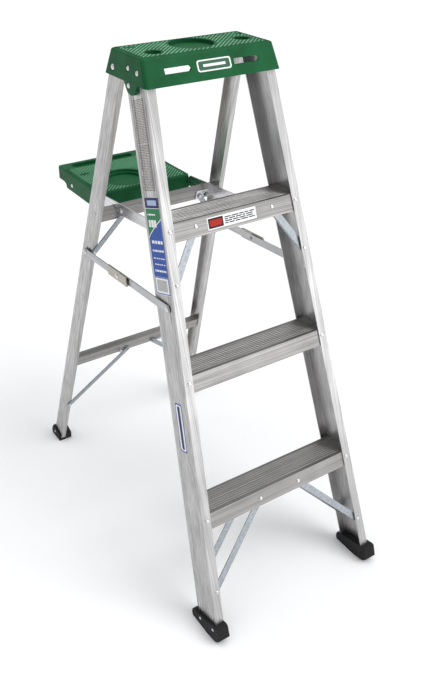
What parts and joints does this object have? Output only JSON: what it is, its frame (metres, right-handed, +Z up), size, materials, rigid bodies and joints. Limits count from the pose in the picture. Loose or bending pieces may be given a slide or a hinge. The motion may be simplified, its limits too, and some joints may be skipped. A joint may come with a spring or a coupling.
{
  "type": "stepladder",
  "caption": "Folding aluminium stepladder with ribbed treads, a moulded green top cap with tool recesses and a matching swing-down pail shelf.",
  "frame": {"origin": "middle of the ladder's footprint box, on the floor", "axes": "+X to the right rail as a person faces the treads to climb, +Y from the treads to the rear section and shelf, +Z up"},
  "size_m": [0.457, 0.9, 1.158],
  "materials": {
    "aluminium": "mill-finish extrusion",
    "green_plastic": "grained moulding",
    "galvanised_steel": "galvanised sheet",
    "spreader_steel": "plated flat bar",
    "black_rubber": "matte moulded",
    "rivet_metal": "pressed rivet head"
  },
  "bodies": {
    "front_section": {"cap_rivet_1_left": "rivet_metal", "cap_rivet_1_right": "rivet_metal", "cap_rivet_2_left": "rivet_metal", "cap_rivet_2_right": "rivet_metal", "front_foot_left": "black_rubber", "front_foot_right": "black_rubber", "front_rail_left": "aluminium", "front_rail_right": "aluminium", "hinge_rivet_left": "rivet_metal", "hinge_rivet_right": "rivet_metal", "knee_brace_bottom_left": "galvanised_steel", "knee_brace_bottom_right": "galvanised_steel", "knee_brace_top_left": "galvanised_steel", "knee_brace_top_right": "galvanised_steel", "rear_knee_brace_left": "galvanised_steel", "rear_knee_brace_right": "galvanised_steel", "spreader_front_pin_left": "rivet_metal", "spreader_front_pin_right": "rivet_metal", "step_bottom": "aluminium", "step_middle": "aluminium", "step_rivet_bottom_left": "rivet_metal", "step_rivet_bottom_right": "rivet_metal", "step_rivet_middle_left": "rivet_metal", "step_rivet_middle_right": "rivet_metal", "step_rivet_top_left": "rivet_metal", "step_rivet_top_right": "rivet_metal", "step_top": "aluminium", "top_cap": "green_plastic"},
    "rear_section": {"rear_bar_lower": "aluminium", "rear_bar_upper": "aluminium", "rear_diagonal_lower_left": "galvanised_steel", "rear_diagonal_lower_right": "galvanised_steel", "rear_diagonal_upper_left": "galvanised_steel", "rear_diagonal_upper_right": "galvanised_steel", "rear_foot_left": "black_rubber", "rear_foot_right": "black_rubber", "rear_rail_left": "aluminium", "rear_rail_right": "aluminium", "shelf_bracket_left": "galvanised_steel", "shelf_bracket_right": "galvanised_steel", "spreader_rear_pin_left": "rivet_metal", "spreader_rear_pin_right": "rivet_metal"},
    "shelf_assembly": {"pail_shelf": "green_plastic", "shelf_arm_left": "aluminium", "shelf_arm_right": "aluminium", "shelf_pivot_pin_left": "rivet_metal", "shelf_pivot_pin_right": "rivet_metal", "shelf_rivet_1_left": "rivet_metal", "shelf_rivet_1_right": "rivet_metal"},
    "spreader_front_right": {"spreader_front_link_right": "spreader_steel"},
    "spreader_rear_right": {"spreader_rear_link_right": "spreader_steel", "spreader_lock_plate_right": "spreader_steel", "spreader_centre_rivet_right": "rivet_metal"},
    "spreader_front_left": {"spreader_front_link_left": "spreader_steel"},
    "spreader_rear_left": {"spreader_rear_link_left": "spreader_steel", "spreader_lock_plate_left": "spreader_steel", "spreader_centre_rivet_left": "rivet_metal"}
  },
  "joints": [
    {"name": "rear_fold", "type": "hinge", "parent": "front_section", "child": "rear_section", "pos_m": [0, 0.04, 1.124], "axis": [-1, 0, 0], "range_deg": [0, 35]},
    {"name": "shelf_lift", "type": "hinge", "parent": "rear_section", "child": "shelf_assembly", "pos_m": [0, 0.11, 0.799], "axis": [1, 0, 0], "range_deg": [0, 107.5]},
    {"name": "spreader_front_right_turn", "type": "hinge", "parent": "front_section", "child": "spreader_front_right", "pos_m": [0.176, -0.18409, 0.70606], "axis": [1, 0, 0], "range_deg": [0, 40.6]},
    {"name": "spreader_rear_right_turn", "type": "hinge", "parent": "rear_section", "child": "spreader_rear_right", "pos_m": [0.17829, 0.18857, 0.68337], "axis": [-1, 0, 0], "range_deg": [0, 77.9]},
    {"name": "spreader_front_left_turn", "type": "hinge", "parent": "front_section", "child": "spreader_front_left", "pos_m": [-0.176, -0.18409, 0.70606], "axis": [1, 0, 0], "range_deg": [0, 40.6]},
    {"name": "spreader_rear_left_turn", "type": "hinge", "parent": "rear_section", "child": "spreader_rear_left", "pos_m": [-0.17829, 0.18857, 0.68337], "axis": [-1, 0, 0], "range_deg": [0, 77.9]}
  ],
  "couplings": [
    {"joint": "shelf_lift", "follows": "rear_fold", "ratio": 3.057},
    {"joint": "spreader_front_right_turn", "follows": "rear_fold", "ratio": 1.1437},
    {"joint": "spreader_rear_right_turn", "follows": "rear_fold", "ratio": 2.2046},
    {"joint": "spreader_front_left_turn", "follows": "rear_fold", "ratio": 1.1437},
    {"joint": "spreader_rear_left_turn", "follows": "rear_fold", "ratio": 2.2046}
  ]
}
